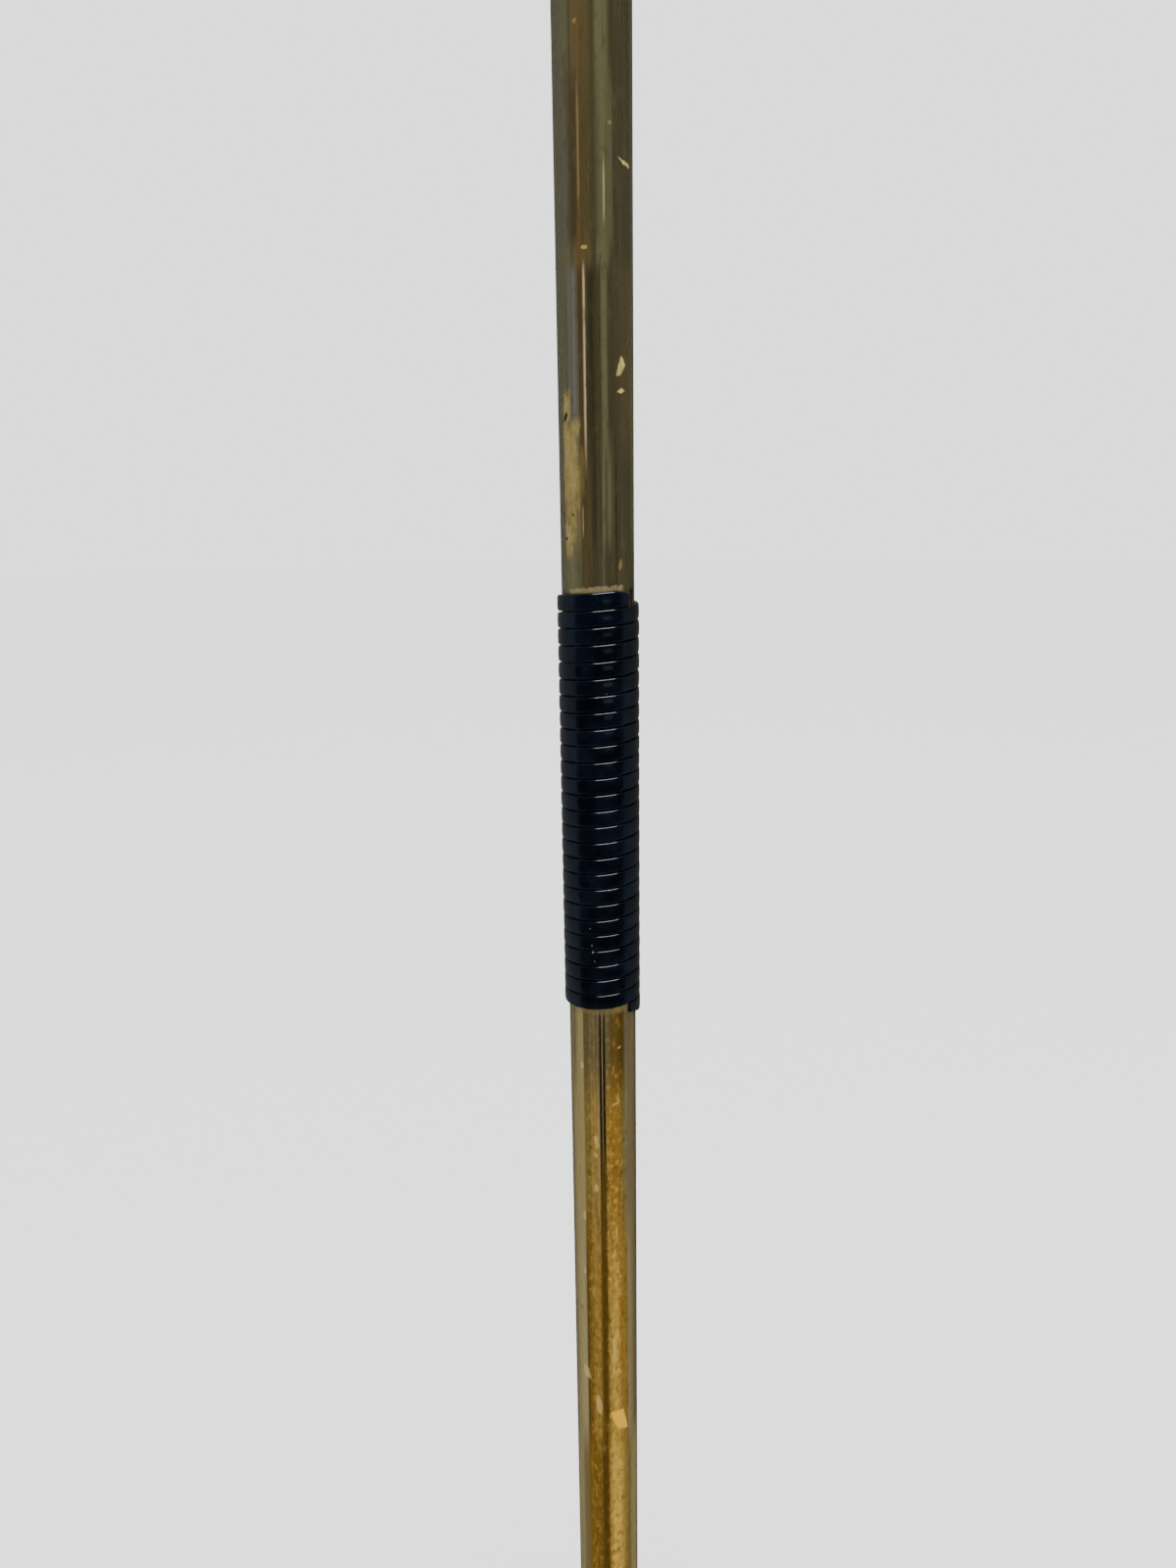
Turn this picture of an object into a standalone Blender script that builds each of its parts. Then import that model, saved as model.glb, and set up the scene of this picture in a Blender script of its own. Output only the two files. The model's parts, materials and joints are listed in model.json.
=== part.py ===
"""Rope barrier stanchion: a slim brass post on a weighted domed base, with a strip-wound hand grip
and, under a ball finial, a collar that turns and carries two hinged rope rings.

Frame: metres, +Z up, origin on the floor at the centre of the base. The rope rings are at +X and -X.
"""

import math

import bmesh
import bpy

# ---- driving dimensions ----
TUBE_RADIUS = 0.0127  # a one-inch tube
TUBE_WALL = 0.0015
TUBE_TOP = 0.8880
BASE_RADIUS = 0.150
BASE_HEIGHT = 0.040  # the cover's hub, where the base collar stands
GRIP_BOTTOM = 0.4800  # at the front of the post
GRIP_TURNS = 26
GRIP_PITCH = 0.00589
GRIP_THICKNESS = 0.0016
GRIP_END_ANGLE = math.radians(-43)  # where both ends of the strip lie, seen from above
FINIAL_RADIUS = 0.0250
RING_RADIUS = 0.0170  # to the middle of the wire
RING_WIRE = 0.0020  # the wire's radius

GAP = 0.0003  # between pieces that touch on the real object
WELD = 0.00001
ROUND_STEPS = 32
WIDE_STEPS = 48
HOLE_STEPS = 20
STRIP_STEPS = 20  # to each turn of the grip

# ---- base, from the floor up ----
FLOOR_RING_OUTER = 0.1455
FLOOR_RING_WIDTH = 0.018
FLOOR_RING_HEIGHT = 0.004
WEIGHT_RADIUS = 0.1455
WEIGHT_BOTTOM = FLOOR_RING_HEIGHT + GAP
COVER_WALL = 0.0012
COVER_SKIRT_BOTTOM = 0.003
COVER_LEDGE = 0.0165
COVER_HUB_RADIUS = 0.033
COVER_DOME_RADIUS = 0.139
BOLT_HOLE = 0.0068
BOLT_RADIUS = 0.0059  # M12
BOLT_HEAD_RADIUS = 0.0110  # corner to centre, 19 mm across flats
BOLT_HEAD_HEIGHT = 0.0075
COUNTERBORE_RADIUS = 0.0160
COUNTERBORE_TOP = 0.0205
FLAT_WASHER_HEIGHT = 0.0025
SPRING_WASHER_HEIGHT = 0.0027
BASE_COLLAR_HEIGHT = 0.0340
COLLAR_FLOOR = 0.0050
SOCKET_RADIUS = TUBE_RADIUS + GAP
PLUG_RADIUS = TUBE_RADIUS - TUBE_WALL - GAP
PLUG_LENGTH = 0.030
SET_SCREW_RADIUS = 0.0025  # M5
SET_SCREW_BELOW_TOP = 0.0085

BASE_COLLAR_BOTTOM = BASE_HEIGHT + GAP
BASE_COLLAR_TOP = BASE_COLLAR_BOTTOM + BASE_COLLAR_HEIGHT
BASE_NECK_RADIUS = 0.0175
TUBE_BOTTOM = BASE_COLLAR_BOTTOM + COLLAR_FLOOR + GAP

# ---- head, from the ferrule up ----
STUD_RADIUS = 0.0049  # M10
STUD_HOLE = 0.0053
STUD_CLEARANCE = 0.0055
FERRULE_BOTTOM = 0.8660
FERRULE_TOP = TUBE_TOP + GAP + 0.0052
NYLON_HEIGHT = 0.0012
BUSH_RADIUS = 0.0080
COLLAR_BORE = BUSH_RADIUS + GAP
COLLAR_RADIUS = 0.0195
COLLAR_HEIGHT = 0.0160
COLLAR_BOTTOM = FERRULE_TOP + GAP + NYLON_HEIGHT + GAP
COLLAR_TOP = COLLAR_BOTTOM + COLLAR_HEIGHT
COLLAR_MIDDLE = (COLLAR_BOTTOM + COLLAR_TOP) / 2
UPPER_WASHER_TOP = COLLAR_TOP + GAP + NYLON_HEIGHT
FINIAL_BASE_BOTTOM = UPPER_WASHER_TOP + GAP
FINIAL_BASE_HEIGHT = 0.0080
FINIAL_NECK_BOTTOM = FINIAL_BASE_BOTTOM + FINIAL_BASE_HEIGHT + GAP
FINIAL_NECK_RADIUS = 0.0095
FINIAL_WALL = 0.0018
FINIAL_CENTRE = FINIAL_NECK_BOTTOM + 0.0050 + math.sqrt(FINIAL_RADIUS**2 - FINIAL_NECK_RADIUS**2)

# ---- rope rings and the eyes that hold them ----
EYE_RADIUS = 0.0072
EYE_HOLE = 0.0036
EYE_THICKNESS = 0.0050
EYE_FLANGE_RADIUS = 0.0050
EYE_FLANGE_HEIGHT = 0.0015
EYE_SHANK_RADIUS = 0.0030  # M6
EYE_SHANK_INNER = 0.0110
EYE_CENTRE = COLLAR_RADIUS + GAP + EYE_FLANGE_HEIGHT + EYE_RADIUS - 0.0005
HINGE_HEIGHT = COLLAR_MIDDLE - (EYE_HOLE - RING_WIRE - GAP)


# ---- scene, collections and materials ----
def clear_scene():
    for old in list(bpy.data.objects):
        bpy.data.objects.remove(old, do_unlink=True)


def new_collection(name):
    made = bpy.data.collections.new(name)
    bpy.context.scene.collection.children.link(made)
    return made


def material(name, colour, roughness, metallic):
    made = bpy.data.materials.new(name)
    made.use_nodes = True
    shader = made.node_tree.nodes["Principled BSDF"]
    shader.inputs["Base Color"].default_value = (*colour, 1.0)
    shader.inputs["Roughness"].default_value = roughness
    shader.inputs["Metallic"].default_value = metallic
    made.diffuse_color = (*colour, 1.0)
    return made


clear_scene()
PARTS = new_collection("rope_barrier_stanchion")
CUTTERS = new_collection("cutters")

AGED_BRASS = material("aged_brass", (0.30, 0.22, 0.10), 0.30, 1.0)
TURNED_BRASS = material("turned_brass", (0.42, 0.30, 0.12), 0.28, 1.0)
CAST_IRON = material("cast_iron", (0.06, 0.06, 0.065), 0.75, 0.6)
ZINC_STEEL = material("zinc_steel", (0.45, 0.46, 0.48), 0.40, 1.0)
BLACK_RUBBER = material("black_rubber", (0.02, 0.02, 0.02), 0.85, 0.0)
BLACK_STRIP = material("black_strip", (0.01, 0.012, 0.018), 0.22, 0.0)
WHITE_NYLON = material("white_nylon", (0.75, 0.73, 0.66), 0.50, 0.0)


def empty(name, location, parent=None):
    made = bpy.data.objects.new(name, None)
    made.empty_display_size = 0.02
    PARTS.objects.link(made)
    made.parent = parent
    made.location = location
    return made


# ---- building tools ----
def add(name, mesh, finish, collection=PARTS):
    made = bpy.data.objects.new(name, mesh)
    collection.objects.link(made)
    made.data.materials.append(finish)
    return made


def arc(centre_r, centre_z, radius, start, end, count):
    """Points of a round stretch of a turned outline; angles in degrees, 0 outwards and 90 up."""
    points = []
    for i in range(count + 1):
        angle = math.radians(start + (end - start) * i / count)
        points.append((centre_r + radius * math.cos(angle), centre_z + radius * math.sin(angle)))
    return points


def outline_mesh(name, outline, closed):
    mesh = bpy.data.meshes.new(name)
    points = [(r, 0.0, z) for r, z in outline]
    last = len(points) if closed else len(points) - 1
    edges = [(i, (i + 1) % len(points)) for i in range(last)]
    mesh.from_pydata(points, edges, [])
    return mesh


def turned(name, outline, finish, steps=ROUND_STEPS, closed=True, collection=PARTS):
    """A piece turned about Z from its outline, which runs down the outer side and up the inner one."""
    made = add(name, outline_mesh(name, outline, closed), finish, collection)
    screw = made.modifiers.new("turn", "SCREW")
    screw.axis = "Z"
    screw.steps = screw.render_steps = steps
    screw.use_merge_vertices = True
    screw.merge_threshold = WELD
    screw.use_smooth_shade = True
    return made


def ring_outline(outer, inner, bottom, top, edge=0.0):
    """A washer's or sleeve's section, with its outer corners chamfered by edge."""
    if not edge:
        return [(outer, top), (outer, bottom), (inner, bottom), (inner, top)]
    return [(outer - edge, top), (outer, top - edge), (outer, bottom + edge), (outer - edge, bottom),
            (inner, bottom), (inner, top)]


def rod(name, radius, start, end, finish, axis="Z", steps=HOLE_STEPS, collection=PARTS):
    """A plain round bar from start to end along X, Y or Z through the origin."""
    mesh = bpy.data.meshes.new(name)
    shape = bmesh.new()
    bmesh.ops.create_cone(shape, cap_ends=True, segments=steps, radius1=radius, radius2=radius,
                          depth=abs(end - start))
    shape.to_mesh(mesh)
    shape.free()
    made = add(name, mesh, finish, collection)
    middle = (start + end) / 2
    if axis == "X":
        made.rotation_euler = (0.0, math.pi / 2, 0.0)
        made.location = (middle, 0.0, 0.0)
    elif axis == "Y":
        made.rotation_euler = (math.pi / 2, 0.0, 0.0)
        made.location = (0.0, middle, 0.0)
    else:
        made.location = (0.0, 0.0, middle)
    return made


def as_helper(made):
    made.hide_render = True
    made.display_type = "WIRE"
    return made


def boolean(target, other, operation):
    change = target.modifiers.new(operation.lower(), "BOOLEAN")
    change.operation = operation
    change.object = as_helper(other)
    change.solver = "EXACT"


# ---- base ----
def dome_height(radius):
    """Outer height of the cover's shallow dome at this distance from the axis."""
    rise = BASE_HEIGHT - COVER_LEDGE
    share = (radius - COVER_HUB_RADIUS) / (COVER_DOME_RADIUS - COVER_HUB_RADIUS)
    return COVER_LEDGE + rise * (1.0 - share**1.9) ** 0.95


def floor_ring():
    outline = ring_outline(FLOOR_RING_OUTER, FLOOR_RING_OUTER - FLOOR_RING_WIDTH, 0.0, FLOOR_RING_HEIGHT)
    return turned("floor_ring", outline, BLACK_RUBBER, WIDE_STEPS)


def base_weight():
    boss_radius = 0.024
    boss_top = BASE_HEIGHT - COVER_WALL - GAP
    outline = [
        (boss_radius, boss_top),
        (boss_radius + 0.002, 0.0320),
        (0.125, 0.0150),
        (WEIGHT_RADIUS, 0.0115),
        (WEIGHT_RADIUS, WEIGHT_BOTTOM),
        (COUNTERBORE_RADIUS, WEIGHT_BOTTOM),
        (COUNTERBORE_RADIUS, COUNTERBORE_TOP),
        (BOLT_HOLE, COUNTERBORE_TOP),
        (BOLT_HOLE, boss_top),
    ]
    return turned("base_weight", outline, CAST_IRON, WIDE_STEPS)


def base_cover():
    """A spun shell: flat hub, shallow dome, a ledge, a quarter-round shoulder and a short skirt."""
    outline = [(BOLT_HOLE, BASE_HEIGHT), (COVER_HUB_RADIUS, BASE_HEIGHT)]
    for share in (0.2, 0.4, 0.58, 0.73, 0.86, 0.95, 1.0):
        radius = COVER_HUB_RADIUS + share * (COVER_DOME_RADIUS - COVER_HUB_RADIUS)
        outline.append((radius, dome_height(radius)))
    shoulder = 0.0050
    outline += arc(BASE_RADIUS - shoulder, COVER_LEDGE - shoulder, shoulder, 90, 0, 3)
    outline.append((BASE_RADIUS, COVER_SKIRT_BOTTOM))
    cover = turned("base_cover", outline, AGED_BRASS, WIDE_STEPS, closed=False)
    wall = cover.modifiers.new("wall", "SOLIDIFY")
    wall.thickness = COVER_WALL
    wall.offset = -1.0
    wall.use_even_offset = True
    return cover


def base_bolt():
    head_top = COUNTERBORE_TOP - GAP - FLAT_WASHER_HEIGHT - GAP - SPRING_WASHER_HEIGHT - GAP
    head_bottom = head_top - BOLT_HEAD_HEIGHT
    shank_top = TUBE_BOTTOM + 0.9 * PLUG_LENGTH
    bolt = rod("base_bolt", BOLT_HEAD_RADIUS, head_bottom, head_top, ZINC_STEEL, steps=6)
    shank = rod("base_bolt_shank", BOLT_RADIUS, head_bottom + 0.002, shank_top, ZINC_STEEL, collection=CUTTERS)
    boolean(bolt, shank, "UNION")
    return bolt


def flat_washer():
    top = COUNTERBORE_TOP - GAP
    return turned("flat_washer", ring_outline(0.0120, 0.0064, top - FLAT_WASHER_HEIGHT, top), ZINC_STEEL, 24)


def spring_washer():
    """A split ring: one turn of square wire with a narrow cut."""
    top = COUNTERBORE_TOP - GAP - FLAT_WASHER_HEIGHT - GAP
    outline = ring_outline(0.0105, 0.0063, top - SPRING_WASHER_HEIGHT, top)
    washer = turned("spring_washer", outline, ZINC_STEEL, 24)
    mesh = bpy.data.meshes.new("spring_washer_cut")
    shape = bmesh.new()
    bmesh.ops.create_cube(shape, size=1.0)
    shape.to_mesh(mesh)
    shape.free()
    cut = add("spring_washer_cut", mesh, ZINC_STEEL, CUTTERS)
    cut.scale = (0.010, 0.0016, 0.010)
    cut.location = (0.0085, 0.0, top)
    cut.rotation_euler = (math.radians(20), 0.0, 0.0)
    boolean(washer, cut, "DIFFERENCE")
    return washer


def base_collar():
    """Turned foot of the post: flange, cove, bead and neck, bored as a socket for the tube."""
    bottom = BASE_COLLAR_BOTTOM
    top = BASE_COLLAR_TOP
    outline = [(0.0150, top), (BASE_NECK_RADIUS, top - 0.0020), (BASE_NECK_RADIUS, bottom + 0.0205)]
    outline += arc(BASE_NECK_RADIUS, bottom + 0.0180, 0.0025, 80, -80, 4)
    outline += arc(0.0290, bottom + 0.0155, 0.0110, 185, 262, 4)
    outline += arc(0.0290, bottom + 0.0022, 0.0022, 70, -90, 3)
    outline += [
        (BOLT_HOLE, bottom),
        (BOLT_HOLE, bottom + COLLAR_FLOOR),
        (SOCKET_RADIUS, bottom + COLLAR_FLOOR),
        (SOCKET_RADIUS, top),
    ]
    collar = turned("base_collar", outline, TURNED_BRASS)
    hole = rod("set_screw_hole", SET_SCREW_RADIUS + GAP, SOCKET_RADIUS - 0.001, 0.022, TURNED_BRASS, "Y",
               16, CUTTERS)
    hole.location.z = top - SET_SCREW_BELOW_TOP
    boolean(collar, hole, "DIFFERENCE")
    return collar


def collar_set_screw():
    """Grub screw at the back of the base collar, with a hexagon socket in its outer end."""
    start = TUBE_RADIUS + 2 * GAP
    end = BASE_NECK_RADIUS - GAP
    height = BASE_COLLAR_TOP - SET_SCREW_BELOW_TOP
    screw = rod("collar_set_screw", SET_SCREW_RADIUS, start, end, ZINC_STEEL, "Y", 16)
    screw.location.z = height
    socket = rod("set_screw_socket", 0.00145, end - 0.0020, end + 0.0020, ZINC_STEEL, "Y", 6, CUTTERS)
    socket.location.z = height
    boolean(screw, socket, "DIFFERENCE")
    return screw


def foot_plug():
    outline = ring_outline(PLUG_RADIUS, 0.0063, TUBE_BOTTOM, TUBE_BOTTOM + PLUG_LENGTH)
    return turned("foot_plug", outline, TURNED_BRASS, 24)


# ---- pole and grip ----
def pole_tube():
    outline = ring_outline(TUBE_RADIUS, TUBE_RADIUS - TUBE_WALL, TUBE_BOTTOM, TUBE_TOP)
    return turned("pole_tube", outline, AGED_BRASS)


def grip_wrap():
    """One long strip wound as a right-handed helix: flat on the tube, rounded at its outer edges."""
    width = GRIP_PITCH - GAP
    outer = TUBE_RADIUS + GRIP_THICKNESS
    outline = [(outer - 0.0007, width), (outer, width - 0.0014), (outer, 0.0014), (outer - 0.0007, 0.0),
               (SOCKET_RADIUS, 0.0), (SOCKET_RADIUS, width)]
    pattern = add("grip_pattern", outline_mesh("grip_pattern", outline, True), BLACK_STRIP, CUTTERS)
    screw = pattern.modifiers.new("wind", "SCREW")
    screw.axis = "Z"
    screw.steps = screw.render_steps = STRIP_STEPS
    screw.iterations = GRIP_TURNS
    screw.screw_offset = GRIP_PITCH
    screw.use_smooth_shade = True
    depsgraph = bpy.context.evaluated_depsgraph_get()
    mesh = bpy.data.meshes.new_from_object(pattern.evaluated_get(depsgraph))
    shape = bmesh.new()
    shape.from_mesh(mesh)
    bmesh.ops.holes_fill(shape, edges=[e for e in shape.edges if e.is_boundary], sides=0)
    bmesh.ops.recalc_face_normals(shape, faces=shape.faces[:])
    shape.to_mesh(mesh)
    shape.free()
    bpy.data.objects.remove(pattern, do_unlink=True)
    wrap = add("grip_wrap", mesh, BLACK_STRIP)
    front = math.radians(-90)
    start_drop = GRIP_PITCH * ((front - GRIP_END_ANGLE) % (2 * math.pi)) / (2 * math.pi)
    wrap.rotation_euler = (0.0, 0.0, GRIP_END_ANGLE)
    wrap.location = (0.0, 0.0, GRIP_BOTTOM - start_drop)
    return wrap


# ---- head ----
def head_plug():
    return turned("head_plug", ring_outline(PLUG_RADIUS, STUD_HOLE, TUBE_TOP - PLUG_LENGTH, TUBE_TOP),
                  TURNED_BRASS, 24)


def neck_ferrule():
    """Cap on the tube's upper end: a bead at the foot, a slim waist and a flange that carries the collar."""
    top = FERRULE_TOP
    bottom = FERRULE_BOTTOM
    flange = 0.0200
    outline = [(flange - 0.0010, top), (flange, top - 0.0010), (flange, top - 0.0035)]
    outline += arc(flange, top - 0.0095, 0.0055, 100, 165, 3)
    outline += [(0.0147, bottom + 0.0085)]
    outline += arc(0.0145, bottom + 0.0045, 0.0022, 75, -75, 4)
    outline += [
        (0.0142, bottom),
        (SOCKET_RADIUS, bottom),
        (SOCKET_RADIUS, TUBE_TOP + GAP),
        (STUD_CLEARANCE, TUBE_TOP + GAP),
        (STUD_CLEARANCE, top),
    ]
    return turned("neck_ferrule", outline, TURNED_BRASS)


def nylon_washer(name, bottom):
    return turned(name, ring_outline(0.0190, COLLAR_BORE, bottom, bottom + NYLON_HEIGHT), WHITE_NYLON)


def swivel_bush():
    outline = ring_outline(BUSH_RADIUS, STUD_HOLE, FERRULE_TOP + GAP, UPPER_WASHER_TOP)
    return turned("swivel_bush", outline, TURNED_BRASS, 24)


def ring_collar(frame):
    """The drum that turns on the bush, waisted between two lips, with a tapped hole for each eye."""
    half = COLLAR_HEIGHT / 2
    outline = [
        (COLLAR_RADIUS - 0.0008, half),
        (COLLAR_RADIUS + 0.0004, half - 0.0010),
        (COLLAR_RADIUS + 0.0004, half - 0.0022),
        (COLLAR_RADIUS, half - 0.0030),
        (COLLAR_RADIUS, 0.0030 - half),
        (COLLAR_RADIUS + 0.0004, 0.0022 - half),
        (COLLAR_RADIUS + 0.0004, 0.0010 - half),
        (COLLAR_RADIUS - 0.0008, -half),
        (COLLAR_BORE, -half),
        (COLLAR_BORE, half),
    ]
    collar = turned("ring_collar", outline, TURNED_BRASS)
    collar.parent = frame
    for side, sign in (("right", 1), ("left", -1)):
        hole = rod(f"eye_hole_{side}", EYE_SHANK_RADIUS + GAP, sign * (EYE_SHANK_INNER - GAP),
                   sign * (COLLAR_RADIUS + 0.003), TURNED_BRASS, "X", HOLE_STEPS, CUTTERS)
        hole.parent = frame
        boolean(collar, hole, "DIFFERENCE")
    return collar


def ring_eye(side, sign, frame):
    """Eye bolt: a flat round eye on a flanged shank that screws into the collar."""
    name = f"ring_eye_{side}"
    half = EYE_THICKNESS / 2
    eye = turned(name, ring_outline(EYE_RADIUS, EYE_HOLE, -half, half, 0.0008), TURNED_BRASS, 24)
    eye.parent = frame
    eye.location = (sign * EYE_CENTRE, 0.0, 0.0)
    eye.rotation_euler = (math.pi / 2, 0.0, 0.0)
    flange_start = COLLAR_RADIUS + GAP
    stem_end = EYE_CENTRE - EYE_HOLE - 0.0008
    flange_end = flange_start + EYE_FLANGE_HEIGHT
    for label, radius, start, end in (
        ("shank", EYE_SHANK_RADIUS, EYE_SHANK_INNER, stem_end),
        ("flange", EYE_FLANGE_RADIUS, flange_start, flange_end),
    ):
        piece = rod(f"{name}_{label}", radius, sign * start, sign * end, TURNED_BRASS, "X", 20, CUTTERS)
        piece.parent = frame
        boolean(eye, piece, "UNION")
    return eye


def rope_ring(side, sign, frame):
    """Closed ring hanging through its eye, with its origin on the hinge."""
    hinge = empty(f"hinge_{side}", (sign * EYE_CENTRE, 0.0, HINGE_HEIGHT - COLLAR_MIDDLE), frame)
    bpy.ops.mesh.primitive_torus_add(major_radius=RING_RADIUS, minor_radius=RING_WIRE,
                                     major_segments=32, minor_segments=8)
    ring = bpy.context.object
    ring.name = f"rope_ring_{side}"
    for owner in list(ring.users_collection):
        owner.objects.unlink(ring)
    PARTS.objects.link(ring)
    ring.data.materials.append(TURNED_BRASS)
    ring.data.shade_smooth()
    ring.rotation_euler = (0.0, math.pi / 2, 0.0)
    ring.parent = hinge
    ring.location = (0.0, 0.0, -RING_RADIUS)
    return ring


def finial_base():
    """Moulded cap under the ball, which holds the collar down on its bush."""
    bottom = FINIAL_BASE_BOTTOM
    outline = [(0.0105, bottom + FINIAL_BASE_HEIGHT), (0.0120, bottom + 0.0068)]
    outline += arc(0.0130, bottom + 0.0030, 0.0072, 75, 15, 4)
    outline += [
        (0.0205, bottom + 0.0035),
        (0.0205, bottom + 0.0012),
        (0.0195, bottom),
        (STUD_CLEARANCE, bottom),
        (STUD_CLEARANCE, bottom + FINIAL_BASE_HEIGHT),
    ]
    return turned("finial_base", outline, TURNED_BRASS)


def finial_ball():
    """Spun hollow ball on a short tapped neck, open at the neck."""
    neck_angle = math.degrees(math.asin(FINIAL_NECK_RADIUS / FINIAL_RADIUS)) - 90
    inner = FINIAL_RADIUS - FINIAL_WALL
    inner_angle = math.degrees(math.asin(STUD_HOLE / inner)) - 90
    outline = [(0.0, FINIAL_CENTRE + FINIAL_RADIUS)]
    outline += arc(0.0, FINIAL_CENTRE, FINIAL_RADIUS, 78, neck_angle, 12)
    outline += [(FINIAL_NECK_RADIUS, FINIAL_NECK_BOTTOM), (STUD_HOLE, FINIAL_NECK_BOTTOM)]
    outline += arc(0.0, FINIAL_CENTRE, inner, inner_angle, 74, 8)
    outline += [(0.0, FINIAL_CENTRE + inner)]
    return turned("finial_ball", outline, TURNED_BRASS, closed=False)


def finial_stud():
    return rod("finial_stud", STUD_RADIUS, TUBE_TOP - 0.8 * PLUG_LENGTH, FINIAL_NECK_BOTTOM + 0.0090,
               ZINC_STEEL)


def build():
    floor_ring()
    base_weight()
    base_cover()
    base_bolt()
    flat_washer()
    spring_washer()
    base_collar()
    collar_set_screw()
    foot_plug()
    pole_tube()
    grip_wrap()
    head_plug()
    neck_ferrule()
    nylon_washer("lower_washer", FERRULE_TOP + GAP)
    swivel_bush()
    nylon_washer("upper_washer", COLLAR_TOP + GAP)
    finial_base()
    finial_ball()
    finial_stud()
    collar_frame = empty("collar_frame", (0.0, 0.0, COLLAR_MIDDLE))
    ring_collar(collar_frame)
    for side, sign in (("right", 1), ("left", -1)):
        ring_eye(side, sign, collar_frame)
        rope_ring(side, sign, collar_frame)


build()
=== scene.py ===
"""Looks for the rope barrier stanchion: tarnished lacquered brass and a glossy black strip-wound grip,
on a plain pale floor in soft studio light.
"""

import json
import math

import bmesh
import bpy
from mathutils import Matrix, Vector

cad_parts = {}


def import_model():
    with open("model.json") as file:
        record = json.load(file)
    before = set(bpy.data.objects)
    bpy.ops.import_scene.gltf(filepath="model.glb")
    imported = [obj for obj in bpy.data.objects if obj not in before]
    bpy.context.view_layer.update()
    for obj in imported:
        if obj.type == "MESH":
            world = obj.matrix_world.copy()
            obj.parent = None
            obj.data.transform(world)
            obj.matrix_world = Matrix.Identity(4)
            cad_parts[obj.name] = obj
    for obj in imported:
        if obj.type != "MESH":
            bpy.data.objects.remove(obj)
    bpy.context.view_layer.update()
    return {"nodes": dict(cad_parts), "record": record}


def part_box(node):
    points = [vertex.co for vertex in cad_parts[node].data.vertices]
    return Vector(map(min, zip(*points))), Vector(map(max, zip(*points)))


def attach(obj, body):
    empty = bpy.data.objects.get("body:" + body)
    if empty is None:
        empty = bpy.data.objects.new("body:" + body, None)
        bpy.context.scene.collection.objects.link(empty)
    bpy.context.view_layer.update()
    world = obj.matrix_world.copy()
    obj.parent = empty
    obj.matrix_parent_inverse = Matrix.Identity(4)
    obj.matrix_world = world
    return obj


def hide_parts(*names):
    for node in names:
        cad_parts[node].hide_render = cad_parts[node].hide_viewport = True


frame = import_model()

NODES = frame["nodes"]

# ---------------------------------------------------------------- measures from the frame
TUBE_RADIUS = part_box("pole_tube")[1].x
MM_PER_DEGREE = 0.2217  # along the tube's surface
SHARP = math.radians(34)  # edges that turn more than this stay sharp
ON_AXIS = 3e-6  # anything nearer to an axis or plane counts as on it
X_AXIS = Vector((1.0, 0.0, 0.0))

# the grip's strip
STRIP_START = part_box("grip_wrap")[0].z  # its lower edge at its lower end
STRIP_THICKNESS = 0.0017
STRIP_TURNS = 26
STRIP_PITCH = 0.00589
STRIP_GAP = 0.00024  # between one turn and the next
STRIP_END = math.radians(-43)  # azimuth of both its ends
STRIP_EDGE = 0.00085  # radius of its outer edges
STRIP_CROWN = 0.00010  # rise of its outer face between the edges
STRIP_INNER = TUBE_RADIUS + 0.00003
STRIP_OUTER = TUBE_RADIUS + STRIP_THICKNESS - 0.00008

# the camera, lights and floor
CAMERA_DISTANCE = 15.15 * 2 * TUBE_RADIUS  # from the post's axis
CAMERA_ASIDE = -0.00445
CAMERA_LENS = 24.97
CAMERA_HEIGHT = 0.66
CAMERA_TILT = math.radians(14.13)  # downward
CAMERA_ROLL = math.radians(0.82)
LIGHT_TARGET = Vector((0.0, 0.0, 0.55))  # about the middle of the grip
FLOOR_RADIUS = 14.0
FLOOR_DROP = 0.0002  # below the rubber ring's underside
BACKDROP = (1.93, 2.06, 1.98)


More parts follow.
